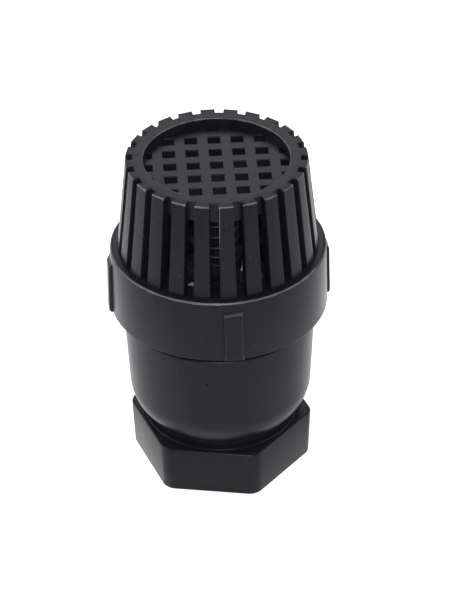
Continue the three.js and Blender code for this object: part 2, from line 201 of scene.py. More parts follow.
def new_outline(points, rounding_steps=4):
    """A turned part's outline: each point is a radius, a height and the length it is rounded by.
    It closes on itself unless it starts and ends on the axis."""
    outline = bmesh.new()
    corners = [outline.verts.new((radius, 0, height)) for radius, height, _ in points]
    ends = corners[1:] + ([] if points[0][0] == 0 else corners[:1])
    for first, second in zip(corners, ends):
        outline.edges.new((first, second))
    for corner, (_, _, rounding) in zip(corners, points):
        if rounding:
            bmesh.ops.bevel(outline, geom=[corner], offset=rounding, segments=rounding_steps,
                            profile=0.5, affect="VERTICES", material=-1)
    return outline


def tidy(shape):
    """Merges doubles, then turns every face outwards."""
    bmesh.ops.remove_doubles(shape, verts=shape.verts, dist=1e-7)
    bmesh.ops.recalc_face_normals(shape, faces=shape.faces)
    return shape


def turned(points, steps, rounding_steps=4):
    """A part turned about the valve's axis."""
    shape = new_outline(points, rounding_steps)
    bmesh.ops.spin(shape, geom=shape.verts[:] + shape.edges[:], axis=(0, 0, 1),
                   angle=2 * math.pi, steps=steps, use_merge=True)
    return tidy(shape)


def screw_ridge(root, crest, root_width, crest_width, pitch, turns, low, steps=64):
    """A right-hand helical ridge. Its two ends are drawn back towards the root."""
    end_depth = 0.15
    shape = bmesh.new()
    corners = [(root, -root_width), (crest, -crest_width), (crest, crest_width), (root, root_width)]
    ring = [shape.verts.new((radius, 0, low + width / 2)) for radius, width in corners]
    shape.faces.new(ring)
    count = round(turns * steps)
    bmesh.ops.spin(shape, geom=shape.faces[:], axis=(0, 0, 1), dvec=(0, 0, pitch / steps),
                   angle=2 * math.pi * count / steps, steps=count)
    fade_steps = steps // 8
    shape.verts.index_update()
    for corner in shape.verts:
        step = corner.index // len(corners)
        step = min(step, count - step)
        depth = end_depth + (1 - end_depth) * min(1, step / fade_steps)
        radius = corner.co.xy.length
        corner.co.xy *= (root + (radius - root) * depth) / radius
    return tidy(shape)


def shown(shape, name, material=None, crease=35):
    """Puts a finished mesh in the scene, smooth except across edges sharper than the crease."""
    for face in shape.faces:
        face.smooth = True
    for edge in shape.edges:
        edge.smooth = edge.is_manifold and edge.calc_face_angle() < math.radians(crease)
    mesh = bpy.data.meshes.new(name)
    shape.to_mesh(mesh)
    shape.free()
    if material:
        mesh.materials.append(material)
    made = bpy.data.objects.new(name, mesh)
    bpy.context.scene.collection.objects.link(made)
    return made


def joined(shape, *others):
    """The shape after each (operation, other shape) is joined to it or cut from it."""
    base = shown(shape, "blank")
    tools = []
    for operation, other in others:
        tool = shown(other, "tool")
        tools.append(tool)
        modifier = base.modifiers.new(operation, "BOOLEAN")
        modifier.operation = operation
        modifier.solver = "MANIFOLD"
        modifier.object = tool
    whole = bmesh.new()
    whole.from_object(base, bpy.context.evaluated_depsgraph_get())
    for used in [base] + tools:
        used_mesh = used.data
        bpy.data.objects.remove(used)
        bpy.data.meshes.remove(used_mesh)
    bmesh.ops.remove_doubles(whole, verts=whole.verts, dist=1e-7)
    return whole


def upright(edge):
    """True for an edge that runs mainly along the axis."""
    along = (edge.verts[0].co - edge.verts[1].co).normalized()
    return abs(along.z) > 0.9


def round_edges(shape, edges, size, steps=3):
    bmesh.ops.bevel(shape, geom=edges, offset=size, segments=steps, profile=0.5,
                    affect="EDGES", material=-1)


def moulded_material(name, dark, light, gloss, painted_highlight_edges=()):
    """Moulded plastic: fine grain from the mould, faint flow marks and a little dust. Each edge
    listed last is a radius, a height and how far a painted highlight of lighter colour reaches from
    it."""
    material, start = new_material(name)
    flow = noise(start, 55, 3, stretch=(1, 1, 0.35))
    cloud = noise(start, 320, 2)
    grain = noise(start, 2600, 2)
    dust = noise(start, 900, 1) > 0.79
    colour = blend_colours(start, flow, dark, light)
    colour = blend_colours(start, dust * 0.25, colour, (0.10, 0.10, 0.105, 1))
    place = start.node("ShaderNodeTexCoord", output="Object")
    flat = start.node("ShaderNodeMapping", sockets={"Vector": place, "Scale": (1, 1, 0)})
    out = start.node("ShaderNodeVectorMath", {"operation": "LENGTH"}, {0: flat}, output="Value")
    up = start.node("ShaderNodeSeparateXYZ", sockets={"Vector": place}, output="Z")
    profile = start.node("ShaderNodeCombineXYZ", sockets={"X": out, "Y": up})
    for radius, height, reach in painted_highlight_edges:
        away = start.node("ShaderNodeVectorMath", {"operation": "DISTANCE"},
                          {0: profile, 1: (radius, height, 0)}, output="Value")
        # A painted highlight: lighter colour along each listed edge, broken by noise, in place of
        # the light caught on the rounded edge.
        painted_highlight = (reach * (1.2 * cloud + 1.2 * grain - 0.4) > away) * (1.8 * flow - 0.2)
        colour = blend_colours(start, painted_highlight, colour, (0.06, 0.06, 0.064, 1))
    roughness = gloss + 0.10 * flow + 0.06 * cloud + 0.08 * dust
    height = 0.55 * grain + 0.8 * cloud + 2.5 * flow
    bump = start.node("ShaderNodeBump", sockets={
        "Strength": 0.32, "Distance": 0.00006, "Height": height})
    shader = start.node("ShaderNodeBsdfPrincipled", sockets={
        "Base Color": colour, "Roughness": roughness, "Normal": bump,
        "Specular IOR Level": 0.09})
    start.node("ShaderNodeOutputMaterial", sockets={"Surface": shader})
    return material


plastic_dark = (0.0026, 0.0024, 0.0036, 1)
plastic_light = (0.0050, 0.0047, 0.0066, 1)
plastic_gloss = 0.26
black_plastic = moulded_material(
    "black_polypropylene", plastic_dark, plastic_light, plastic_gloss)

body_low, body_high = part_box("valve_body")
hex_across_flats = 0.0455
hex_height = 0.0146
hex_draft = 0.0003
hex_corner = 0.004
hex_edge = 0.0006
step_radius = 0.0218
step_height = 0.0003
thread_major = 0.016625
thread_minor = 0.015145
thread_pitch = 0.002309
pipe_thread_turns = 6
pipe_thread_start = 0.0004
socket_depth = 0.0155
outlet_radius = 0.013
chamber_radius = 0.0224
chamber_arc = 0.0096
bowl_wall = 0.0034
bowl_centre = body_low.z + 0.0272
bowl_shoulder = body_low.z + 0.0490
bowl_draft = 0.0011
neck_core = 0.0200
neck_radius = chamber_radius + bowl_wall
neck_low = bowl_shoulder + 0.0006
cap_thread_pitch = 0.0025
cap_thread_depth = 0.00095
cap_thread_root = 0.0014
cap_thread_crest = 0.00065
cap_thread_turns = 3.8
neck_thread_drop = 0.0110
seam_height = 0.00006
seam_angle = math.radians(0.35)
pip_height = body_low.z + 0.0412
pip_radius = 0.00045
pip_spacing = 0.0011

arc_steps = 14
bowl_arc = chamber_arc + bowl_wall
arc_radius = chamber_radius - chamber_arc
start_angle = -math.acos((neck_core - arc_radius) / bowl_arc)
bowl_curve = []
chamber_curve = []
for step in range(arc_steps + 1):
    angle = start_angle * (1 - step / arc_steps)
    radius = arc_radius + bowl_arc * math.cos(angle)
    bowl_curve.append((radius, bowl_centre + bowl_arc * math.sin(angle), 0))
    angle = -math.pi / 2 * (1 - step / arc_steps)
    radius = arc_radius + chamber_arc * math.cos(angle)
    chamber_curve.append((radius, bowl_centre + chamber_arc * math.sin(angle), 0))

bowl = turned([
    (0, body_low.z + 0.001, 0),
    (step_radius, body_low.z + 0.001, 0),
    (step_radius, body_low.z + hex_height + step_height, 0.0002),
    (neck_core, body_low.z + hex_height + step_height, 0),
    *bowl_curve,
    (neck_radius + bowl_draft, bowl_shoulder, 0.0003),
    (neck_radius, neck_low, 0),
    (neck_radius, body_high.z, 0.0005),
    (0, body_high.z, 0)], 192)

hexagon = bmesh.new()
corner_radius = hex_across_flats / 2 / math.cos(math.pi / 6)
bmesh.ops.create_cone(hexagon, cap_ends=True, segments=6, depth=hex_height,
                      radius1=corner_radius - hex_draft, radius2=corner_radius + hex_draft,
                      matrix=Matrix.Translation((0, 0, body_low.z + hex_height / 2))
                      @ Matrix.Rotation(math.pi / 6, 4, "Z"))
round_edges(hexagon, [edge for edge in hexagon.edges if upright(edge)],
            hex_corner * math.tan(math.pi / 6), 6)
round_edges(hexagon, [edge for edge in hexagon.edges if not upright(edge)
                      and edge.calc_face_angle() > 1], hex_edge)

neck_ridge = screw_ridge(neck_radius - 0.0005, neck_radius + cap_thread_depth, cap_thread_root,
                         cap_thread_crest, cap_thread_pitch, cap_thread_turns,
                         body_high.z - neck_thread_drop)
pipe_groove = screw_ridge(thread_minor - 0.0005, thread_major, thread_pitch - 0.0002, 0.0004,
                          thread_pitch, pipe_thread_turns, body_low.z + pipe_thread_start)
pipe_socket = turned([
    (0, body_low.z - 0.001, 0),
    (thread_major + 0.0005, body_low.z - 0.001, 0),
    (thread_major + 0.0002, body_low.z + 0.0002, 0.0002),
    (thread_minor, body_low.z + thread_major - thread_minor, 0),
    (thread_minor, body_low.z + socket_depth, 0.0004),
    (0, body_low.z + socket_depth, 0)], 96)
chamber = turned([
    (0, body_low.z + socket_depth - 0.001, 0),
    (outlet_radius, body_low.z + socket_depth - 0.001, 0),
    *chamber_curve[1:],
    (chamber_radius, body_high.z - 0.0004, 0),
    (chamber_radius + 0.0008, body_high.z + 0.0004, 0),
    (0, body_high.z + 0.0004, 0)], 96)

# The two halves of the mould leave a fine seam down the front and back of the bowl. On the
# front seam, where the plastic was let in, a small pit and a pimple are left.
seam = new_outline([
    (neck_core - 0.0005, bowl_curve[0][1], 0),
    *[(radius + seam_height, height, 0) for radius, height, _ in bowl_curve],
    (neck_radius + bowl_draft + seam_height, bowl_shoulder - 0.0004, 0),
    (neck_radius - 0.001, bowl_shoulder - 0.0004, 0)])
bmesh.ops.contextual_create(seam, geom=seam.edges[:])
bmesh.ops.rotate(seam, verts=seam.verts,
                 matrix=Matrix.Rotation(-math.pi / 2 - seam_angle / 2, 3, "Z"))
bmesh.ops.spin(seam, geom=seam.faces[:], axis=(0, 0, 1), angle=seam_angle, steps=1)
bmesh.ops.spin(seam, geom=seam.verts[:] + seam.edges[:] + seam.faces[:], axis=(0, 0, 1),
               angle=math.pi, steps=1, use_duplicate=True)
pip_place = neck_radius + bowl_draft * (pip_height - bowl_centre) / (bowl_shoulder - bowl_centre)
pit = bmesh.new()
bmesh.ops.create_icosphere(pit, subdivisions=2, radius=pip_radius,
                           matrix=Matrix.Translation((0, -pip_place, pip_height)))
pimple = bmesh.new()
bmesh.ops.create_icosphere(pimple, subdivisions=2, radius=pip_radius,
                           matrix=Matrix.Translation((0, 0.0002 - pip_place,
                                                      pip_height - pip_spacing)))

body_shape = joined(bowl, ("UNION", tidy(seam)), ("UNION", pimple), ("DIFFERENCE", pit),
                    ("UNION", hexagon), ("UNION", neck_ridge), ("DIFFERENCE", pipe_socket),
                    ("DIFFERENCE", chamber), ("DIFFERENCE", pipe_groove))
body_moulding = shown(body_shape, "body_moulding", black_plastic)
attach(body_moulding, "housing")
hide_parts("valve_body")


# ------------------------------------------------------------------ body O-ring
# A nitrile rubber ring of round section lies in the seat plate's groove. It is squeezed
# against the bore of the body's neck as the plate is pushed home.

def rubber_material(name, dark, light):
    """Moulded rubber: dull, slightly mottled, with a chalky bloom."""
    material, start = new_material(name)
    mottle = noise(start, 180, 3)
    pores = noise(start, 3200, 1)
    bloom = noise(start, 620, 2) > 0.6
    colour = blend_colours(start, mottle + 0.15 * bloom, dark, light)
    bump = start.node("ShaderNodeBump", sockets={
        "Strength": 0.4, "Distance": 0.00008, "Height": pores + 0.6 * mottle})
    shader = start.node("ShaderNodeBsdfPrincipled", sockets={
        "Base Color": colour, "Roughness": 0.66 + 0.16 * mottle, "Normal": bump,
        "Specular IOR Level": 0.35})
    start.node("ShaderNodeOutputMaterial", sockets={"Surface": shader})
    return material


black_rubber = rubber_material(
    "black_nitrile", (0.008, 0.008, 0.008, 1), (0.016, 0.016, 0.016, 1))

ring_low, ring_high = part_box("body_o_ring")
ring_outside = ring_high.x
ring_section = 0.00136
ring_middle = (ring_low.z + ring_high.z) / 2
o_ring = turned([
    (ring_outside - ring_section, ring_middle - ring_section / 2, ring_section / 2 - 1e-6),
    (ring_outside, ring_middle - ring_section / 2, ring_section / 2 - 1e-6),
    (ring_outside, ring_middle + ring_section / 2, ring_section / 2 - 1e-6),
    (ring_outside - ring_section, ring_middle + ring_section / 2, ring_section / 2 - 1e-6)],
    96, 5)
o_ring = shown(o_ring, "o_ring", black_rubber)
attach(o_ring, "housing")
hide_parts("body_o_ring")


# ------------------------------------------------------------------ poppet disc
# The poppet's backing disc is moulded in a dark glass-filled plastic. Its underside is
# chamfered and stiffened by ribs that run out from the boss.

inner_plastic = moulded_material(
    "inner_polyamide", (0.0035, 0.0035, 0.004, 1), (0.007, 0.007, 0.008, 1), 0.46)

disc_low, disc_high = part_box("poppet_disc")
disc_radius = disc_high.x
stem_bore = 0.0028
boss_radius = 0.0060
boss_length = 0.0014
disc_face = disc_low.z + boss_length
disc_chamfer = 0.0020
disc_chamfer_height = 0.0016
stiffener_count = 6
stiffener_width = 0.0012
stiffener_depth = 0.0014

disc_shape = turned([
    (stem_bore, disc_low.z, 0.0002),
    (boss_radius, disc_low.z, 0.0003),
    (boss_radius, disc_face, 0.0003),
    (disc_radius - disc_chamfer, disc_face, 0.0004),
    (disc_radius, disc_face + disc_chamfer_height, 0.0003),
    (disc_radius, disc_high.z, 0.0002),
    (stem_bore, disc_high.z, 0.0002)], 128)
stiffeners = bmesh.new()
stiffener_start = boss_radius - 0.0005
stiffener_length = disc_radius - disc_chamfer - stiffener_start - 0.0010
bmesh.ops.create_cube(stiffeners, size=1, matrix=Matrix.Translation(
    (stiffener_start + stiffener_length / 2, 0, disc_face)) @ Matrix.Diagonal(
    (stiffener_length, stiffener_width, stiffener_depth, 1)))
round_edges(stiffeners, stiffeners.edges[:], 0.00025)
bmesh.ops.spin(stiffeners, geom=stiffeners.verts[:] + stiffeners.edges[:] + stiffeners.faces[:],
               axis=(0, 0, 1), angle=2 * math.pi * (stiffener_count - 1) / stiffener_count,
               steps=stiffener_count - 1, use_duplicate=True)
disc_moulding = shown(joined(disc_shape, ("UNION", tidy(stiffeners))), "disc_moulding",
                      inner_plastic)
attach(disc_moulding, "poppet")
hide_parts("poppet_disc")


# ------------------------------------------------------------------ seal disc
# A flat disc punched from nitrile rubber sheet lies on the poppet disc. The seat's lip has
# pressed a shallow ring into its upper face.

seal_low, seal_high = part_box("seal_disc")
lip_radius = 0.0162
lip_print = 0.0006
print_depth = 0.00012
seal_ring = turned([
    (stem_bore, seal_low.z, 0.0001),
    (seal_high.x, seal_low.z, 0.0002),
    (seal_high.x, seal_high.z, 0.0002),
    (lip_radius + lip_print + 0.0002, seal_high.z, 0.0001),
    (lip_radius + lip_print, seal_high.z - print_depth, 0.0001),
    (lip_radius - lip_print, seal_high.z - print_depth, 0.0001),
    (lip_radius - lip_print - 0.0002, seal_high.z, 0.0001),
    (stem_bore, seal_high.z, 0.0001)], 128)
seal_ring = shown(seal_ring, "seal_ring", black_rubber)
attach(seal_ring, "poppet")
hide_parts("seal_disc")


# ------------------------------------------------------------------ seal clamp plate
# A turned stainless steel washer clamps the rubber against the poppet disc. The lathe has
# left fine rings on it, and its rim is chamfered.

def steel_material(name, dark, light, roughness, marks):
    """Stainless steel with tool marks in rings about the axis, marks of them per metre."""
    material, start = new_material(name)
    place = start.node("ShaderNodeTexCoord", output="Object")
    flat = start.node("ShaderNodeMapping", sockets={"Vector": place, "Scale": (1, 1, 0)})
    out = start.node("ShaderNodeVectorMath", {"operation": "LENGTH"}, {0: flat}, output="Value")
    rings = start.node("ShaderNodeTexNoise", {"noise_dimensions": "1D"},
                       {"W": out, "Scale": marks, "Detail": 2.0})
    stain = noise(start, 260, 3)
    colour = blend_colours(start, stain, dark, light)
    bump = start.node("ShaderNodeBump", sockets={
        "Strength": 0.35, "Distance": 0.00003, "Height": rings})
    shader = start.node("ShaderNodeBsdfPrincipled", sockets={
        "Base Color": colour, "Metallic": 1.0, "Normal": bump,
        "Roughness": roughness + 0.14 * stain + 0.10 * rings})
    start.node("ShaderNodeOutputMaterial", sockets={"Surface": shader})
    return material


turned_steel = steel_material(
    "turned_stainless", (0.25, 0.245, 0.24, 1), (0.36, 0.36, 0.355, 1), 0.24, 7000)

clamp_low, clamp_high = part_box("seal_clamp_plate")
clamp_chamfer = 0.0005
clamp_rim = 0.0008
clamp_washer = turned([
    (stem_bore, clamp_low.z, 0.0001),
    (clamp_high.x, clamp_low.z, 0.0002),
    (clamp_high.x, clamp_low.z + clamp_rim, 0.0001),
    (clamp_high.x - clamp_chamfer, clamp_high.z, 0.0001),
    (stem_bore, clamp_high.z, 0.0002)], 96)
clamp_washer = shown(clamp_washer, "clamp_washer", turned_steel)
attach(clamp_washer, "poppet")
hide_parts("seal_clamp_plate")


# ------------------------------------------------------------------ valve stem
# The stem is moulded in the same dark glass-filled plastic. Its collar presses on the clamp
# plate, its tail is threaded for the lock nut, and a groove near its top holds the clip.

stem_low, stem_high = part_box("valve_stem")
clip_low, clip_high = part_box("retaining_clip")
stem_radius = 0.0025
collar_radius = 0.0045
collar_gap = 0.0003
collar_thickness = 0.0012
collar_low = clamp_high.z + collar_gap
collar_high = collar_low + collar_thickness
tail_chamfer = 0.0005
stem_chamfer = 0.0006
groove_radius = 0.0019
groove_side = 0.0003
tail_pitch = 0.0008
tail_turns = 8
stem_shape = turned([
    (0, stem_low.z, 0),
    (stem_radius - tail_chamfer, stem_low.z, 0),
    (stem_radius, stem_low.z + tail_chamfer, 0.0001),
    (stem_radius, collar_low, 0),
    (collar_radius, collar_low, 0.0002),
    (collar_radius, collar_high, 0.0003),
    (stem_radius, collar_high, 0.0003),
    (stem_radius, clip_low.z - groove_side, 0.0001),
    (groove_radius, clip_low.z - groove_side, 0.0001),
    (groove_radius, clip_high.z + groove_side, 0.0001),
    (stem_radius, clip_high.z + groove_side, 0.0001),
    (stem_radius, stem_high.z - stem_chamfer, 0.0002),
    (stem_radius - stem_chamfer, stem_high.z, 0.0002),
    (0, stem_high.z, 0)], 48)
tail_thread = screw_ridge(stem_radius - 0.0003, stem_radius + 0.0002, tail_pitch * 0.9,
                          tail_pitch * 0.2, tail_pitch, tail_turns, stem_low.z + tail_chamfer, 32)
stem_rod = shown(joined(stem_shape, ("UNION", tail_thread)), "stem_rod", inner_plastic)
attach(stem_rod, "poppet")
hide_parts("valve_stem")


# ------------------------------------------------------------------ stem washer and lock nut
# A plain stainless washer and a hexagon nut with chamfered corners are run up the stem's
# tail, and hold the seal between the two discs.

washer_low, washer_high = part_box("stem_washer")
plain_washer = turned([
    (stem_bore, washer_low.z, 0.0001),
    (washer_high.x, washer_low.z, 0.0002),
    (washer_high.x, washer_high.z, 0.0001),
    (stem_bore, washer_high.z, 0.0001)], 64)
plain_washer = shown(plain_washer, "plain_washer", turned_steel)
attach(plain_washer, "poppet")
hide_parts("stem_washer")

nut_low, nut_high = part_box("stem_lock_nut")
nut_flats = 0.0080
nut_corner = nut_flats / 2 / math.cos(math.pi / 6)
nut_height = nut_high.z - nut_low.z
nut_chamfer = 0.0006
nut_blank = bmesh.new()
bmesh.ops.create_cone(nut_blank, cap_ends=True, segments=6, depth=nut_height,
                      radius1=nut_corner, radius2=nut_corner,
                      matrix=Matrix.Translation((0, 0, nut_low.z + nut_height / 2)))
corner_cone = turned([
    (0, nut_low.z, 0),
    (nut_flats / 2, nut_low.z, 0),
    (nut_corner + 0.0003, nut_low.z + nut_chamfer, 0),
    (nut_corner + 0.0003, nut_high.z - nut_chamfer, 0),
    (nut_flats / 2, nut_high.z, 0),
    (0, nut_high.z, 0)], 64)
nut_bore = turned([
    (0, nut_low.z - 0.0005, 0),
    (stem_bore + 0.0008, nut_low.z - 0.0005, 0),
    (stem_bore, nut_low.z + 0.0003, 0),
    (stem_bore, nut_high.z - 0.0003, 0),
    (stem_bore + 0.0008, nut_high.z + 0.0005, 0),
    (0, nut_high.z + 0.0005, 0)], 48)
lock_nut = shown(joined(nut_blank, ("INTERSECT", corner_cone), ("DIFFERENCE", nut_bore)),
                 "lock_nut", turned_steel, crease=20)
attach(lock_nut, "poppet")
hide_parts("stem_lock_nut")


# ------------------------------------------------------------------ seat plate
# The seat plate is moulded in dark plastic and pushed into the neck. It carries the seat's
# lip underneath, and a hub on four arms that guides the stem.

seat_low, seat_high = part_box("seat_plate")
flange_radius = seat_high.x
flange_drop = 0.0043
flange_thickness = 0.0025
flange_low = seat_high.z - flange_drop
flange_high = flange_low + flange_thickness
port_radius = 0.0155
spigot_radius = 0.0221
lip_height = 0.0008
lip_width = 0.0012
spigot_low = seat_low.z + lip_height
groove_half = ring_section / 2 + 0.0001
groove_floor = ring_outside - ring_section - 0.0001
hub_radius = 0.0065
hub_drop = 0.0023
hub_low = flange_low - hub_drop
arm_count = 4
arm_width = 0.0030
arm_depth = 0.0034
arm_start = stem_bore + 0.0015

plate_shape = turned([
    (port_radius, spigot_low, 0),
    (port_radius + 0.0001, seat_low.z, 0.0002),
    (port_radius + lip_width, seat_low.z, 0.0002),
    (port_radius + lip_width + 0.0003, spigot_low, 0.0001),
    (spigot_radius, spigot_low, 0.0004),
    (spigot_radius, ring_middle - groove_half, 0.0001),
    (groove_floor, ring_middle - groove_half, 0.0001),
    (groove_floor, ring_middle + groove_half, 0.0001),
    (spigot_radius, ring_middle + groove_half, 0.0001),
    (spigot_radius, flange_low, 0.0002),
    (flange_radius, flange_low, 0.0002),
    (flange_radius, flange_high, 0.0003),
    (port_radius, flange_high, 0.0004)], 128)
hub_shape = turned([
    (0, hub_low, 0),
    (hub_radius - 0.0010, hub_low, 0.0002),
    (hub_radius, hub_low + 0.0020, 0.0004),
    (hub_radius, seat_high.z, 0.0005),
    (0, seat_high.z, 0)], 64)
guide_bore = turned([
    (0, hub_low - 0.001, 0),
    (stem_bore, hub_low - 0.001, 0),
    (stem_bore, seat_high.z - 0.0003, 0),
    (stem_bore + 0.0006, seat_high.z + 0.0003, 0),
    (0, seat_high.z + 0.0003, 0)], 48)
arms = bmesh.new()
arm_length = port_radius - stem_bore
bmesh.ops.create_cube(arms, size=1, matrix=Matrix.Translation(
    (arm_start + arm_length / 2, 0, flange_high - 0.0002 - arm_depth / 2))
    @ Matrix.Diagonal((arm_length, arm_width, arm_depth, 1)))
round_edges(arms, [edge for edge in arms.edges
                   if abs((edge.verts[0].co - edge.verts[1].co).normalized().x) > 0.9], 0.0007)
bmesh.ops.rotate(arms, verts=arms.verts, matrix=Matrix.Rotation(math.pi / arm_count, 3, "Z"))
bmesh.ops.spin(arms, geom=arms.verts[:] + arms.edges[:] + arms.faces[:], axis=(0, 0, 1),
               angle=2 * math.pi * (arm_count - 1) / arm_count, steps=arm_count - 1,
               use_duplicate=True)
plate_shape = joined(plate_shape, ("UNION", tidy(arms)), ("UNION", hub_shape),
                     ("DIFFERENCE", guide_bore))
seat_moulding = shown(plate_shape, "seat_moulding", inner_plastic)
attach(seat_moulding, "housing")
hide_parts("seat_plate")


# ------------------------------------------------------------------ return spring
# The spring is coiled from round stainless wire, with a closed coil at each end. It stands
# on the hub around the stem; in the valve it shortens as the poppet opens, but this mesh keeps one
# length.

spring_low, spring_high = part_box("return_spring")
spring_wire = 0.0010
spring_radius = 0.0053
end_pitch = 0.00115
open_turns = 4.5
spring_length = spring_high.z - spring_low.z
open_pitch = (spring_length - spring_wire - 2 * end_pitch) / open_turns
coil_steps = 40

coil = bmesh.new()
bmesh.ops.create_circle(coil, cap_ends=True, segments=12, radius=spring_wire / 2,
                        matrix=Matrix.Translation(
                            (spring_radius, 0, spring_low.z + spring_wire / 2))
                        @ Matrix.Rotation(math.pi / 2, 4, "X"))
section = coil.faces[:]
for turns, pitch in ((1, end_pitch), (open_turns, open_pitch), (1, end_pitch)):
    steps = round(turns * coil_steps)
    swept = bmesh.ops.spin(coil, geom=section, axis=(0, 0, 1), dvec=(0, 0, pitch / coil_steps),
                           angle=2 * math.pi * turns, steps=steps)
    section = swept["geom_last"]
# The wire's colour is painted shade: its steel is drawn nearly black, so the coils stay dark inside
# the strainer cap.
coil_spring = shown(tidy(coil), "coil_spring", steel_material(
    "drawn_stainless_painted_shade", (0.012, 0.012, 0.012, 1), (0.036, 0.036, 0.036, 1), 0.42, 9000), crease=60)
opening = next(joint for joint in frame["joints"] if joint["name"] == "poppet_slide")
travel = opening["range_m"][1]
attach(coil_spring, "housing")
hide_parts("return_spring")
(spring_length - travel) / spring_length
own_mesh(coil_spring)


# ------------------------------------------------------------------ spring retainer
# A dark plastic cup washer sits on the spring's last coil, with a short rim around it.

cup_low, cup_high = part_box("spring_retainer")
cup_rim = 0.0012
cup_thickness = 0.0012
cup_floor = cup_high.z - cup_thickness
spring_cup = turned([
    (stem_bore, cup_floor, 0.0001),
    (cup_high.x - cup_rim, cup_floor, 0.0002),
    (cup_high.x - cup_rim, cup_low.z, 0.0002),
    (cup_high.x, cup_low.z, 0.0002),
    (cup_high.x, cup_high.z, 0.0005),
    (stem_bore, cup_high.z, 0.0002)], 64)
spring_cup = shown(spring_cup, "spring_cup", inner_plastic)
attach(spring_cup, "poppet")
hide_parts("spring_retainer")


# ------------------------------------------------------------------ retaining clip
# An open ring punched from stainless spring strip snaps into the stem's groove from the side
# and keeps the retainer on. Its edges are slightly rounded.

clip_radius = 0.0048
clip_inside = groove_radius + 0.0003
clip_gap = math.radians(70)
clip_steps = 44
clip_ring = new_outline([
    (clip_inside, clip_low.z, 0.0001), (clip_radius, clip_low.z, 0.00015),
    (clip_radius, clip_high.z, 0.00015), (clip_inside, clip_high.z, 0.0001)], 2)
bmesh.ops.contextual_create(clip_ring, geom=clip_ring.edges[:])
bmesh.ops.rotate(clip_ring, verts=clip_ring.verts, matrix=Matrix.Rotation(clip_gap / 2, 3, "Z"))
bmesh.ops.spin(clip_ring, geom=clip_ring.faces[:], axis=(0, 0, 1),
               angle=2 * math.pi - clip_gap, steps=clip_steps)
snap_clip = shown(tidy(clip_ring), "snap_clip", turned_steel)
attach(snap_clip, "poppet")
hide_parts("retaining_clip")


# ------------------------------------------------------------------ cap gasket
# A flat ring punched from nitrile rubber sheet seals the cap's floor ring to the seat plate.

gasket_low, gasket_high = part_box("cap_gasket")
gasket_width = 0.0034
gasket_ring = turned([
    (gasket_high.x - gasket_width, gasket_low.z, 0.0002),
    (gasket_high.x, gasket_low.z, 0.0002),
    (gasket_high.x, gasket_high.z, 0.0002),
    (gasket_high.x - gasket_width, gasket_high.z, 0.0002)], 128)
gasket_ring = shown(gasket_ring, "gasket_ring", black_rubber)
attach(gasket_ring, "gasket")
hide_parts("cap_gasket")


# ------------------------------------------------------------------ strainer cap
# The skirt, the slotted cone, its rim and its grid are a second moulding in the same black
# plastic. It screws down over the body's neck, and four ribs on the skirt give a grip.

cap_low, cap_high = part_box("strainer_cap")
skirt_bore = 0.0272
skirt_radius = 0.0300
skirt_draft = 0.00036
skirt_edge = 0.0008
ledge = cap_high.z - 0.0277
floor_ring_bore = 0.0222
floor_ring_low = gasket_high.z + 0.0003
strainer_base = 0.0279
strainer_top = 0.02492
slat_depth = 0.0032
slot_count = 24
slot_width = 0.0024
slot_angle = math.radians(6.04)
slot_floor = 0.0002
slat_corner = 0.0011
slat_edge = 0.0003
rim_radius = 0.0231
rim_depth = 0.0059
recess_radius = 0.0200
grid_top = cap_high.z - 0.0026
grid_low = grid_top - 0.0024
hole_size = 0.0032
hole_pitch = 0.0064
hole_edge = 0.00022
grid_angle = math.radians(11.1)
rib_count = 4
rib_width = 0.0054
rib_proud = 0.00095
rib_angle = math.radians(15.54)
rib_top = ledge - 0.0022
rib_slope = 0.0016
rib_lean = 0.0003
rib_edge = 0.0007
rib_root = 0.0005
skirt_thread_rise = 0.00085
burr_angle = math.radians(-21.4)
burr_radius = 0.0004

skirt = turned([
    (skirt_bore + 0.0003, cap_low.z, 0),
    (skirt_radius + skirt_draft, cap_low.z, 0.0003),
    (skirt_radius, ledge, skirt_edge),
    (strainer_base, ledge, 0),
    (strainer_base, ledge + slot_floor, 0),
    (strainer_base - slat_depth, ledge + slot_floor, 0),
    (strainer_base - slat_depth, ledge, 0),
    (floor_ring_bore, ledge, 0.0002),
    (floor_ring_bore, floor_ring_low, 0.0002),
    (skirt_bore, floor_ring_low, 0.0003),
    (skirt_bore, cap_low.z + 0.0004, 0)], 192)

rim = turned([
    (recess_radius, cap_high.z - rim_depth, 0),
    (rim_radius, cap_high.z - rim_depth, 0.0002),
    (rim_radius, cap_high.z, 0.0002),
    (recess_radius, cap_high.z, 0.00035)], 192)

# One slat is a wedge of the cone, cut square by the planes of its two slots.
slat_root = ledge - 0.001
root_radius = strainer_base + (strainer_base - strainer_top) * (ledge - slat_root) / (
    cap_high.z - ledge)
sector = 2 * math.pi / slot_count
slats = new_outline([
    (root_radius - slat_depth, slat_root, 0), (root_radius, slat_root, 0),
    (strainer_top, cap_high.z, 0), (strainer_top - slat_depth, cap_high.z, 0)])
bmesh.ops.rotate(slats, verts=slats.verts, matrix=Matrix.Rotation(-sector / 2, 3, "Z"))
bmesh.ops.spin(slats, geom=slats.verts[:] + slats.edges[:], axis=(0, 0, 1),
               angle=sector, steps=10)
bmesh.ops.holes_fill(slats, edges=slats.edges)
bmesh.ops.recalc_face_normals(slats, faces=slats.faces)
for side in (-1, 1):
    square = Vector((-math.sin(sector / 2), side * math.cos(sector / 2), 0))
    cut = bmesh.ops.bisect_plane(slats, geom=slats.verts[:] + slats.edges[:] + slats.faces[:],
                                 plane_co=-square * slot_width / 2, plane_no=square,
                                 clear_outer=True)
    rim_edges = [part for part in cut["geom_cut"] if isinstance(part, bmesh.types.BMEdge)]
    bmesh.ops.contextual_create(slats, geom=rim_edges)
bmesh.ops.recalc_face_normals(slats, faces=slats.faces)
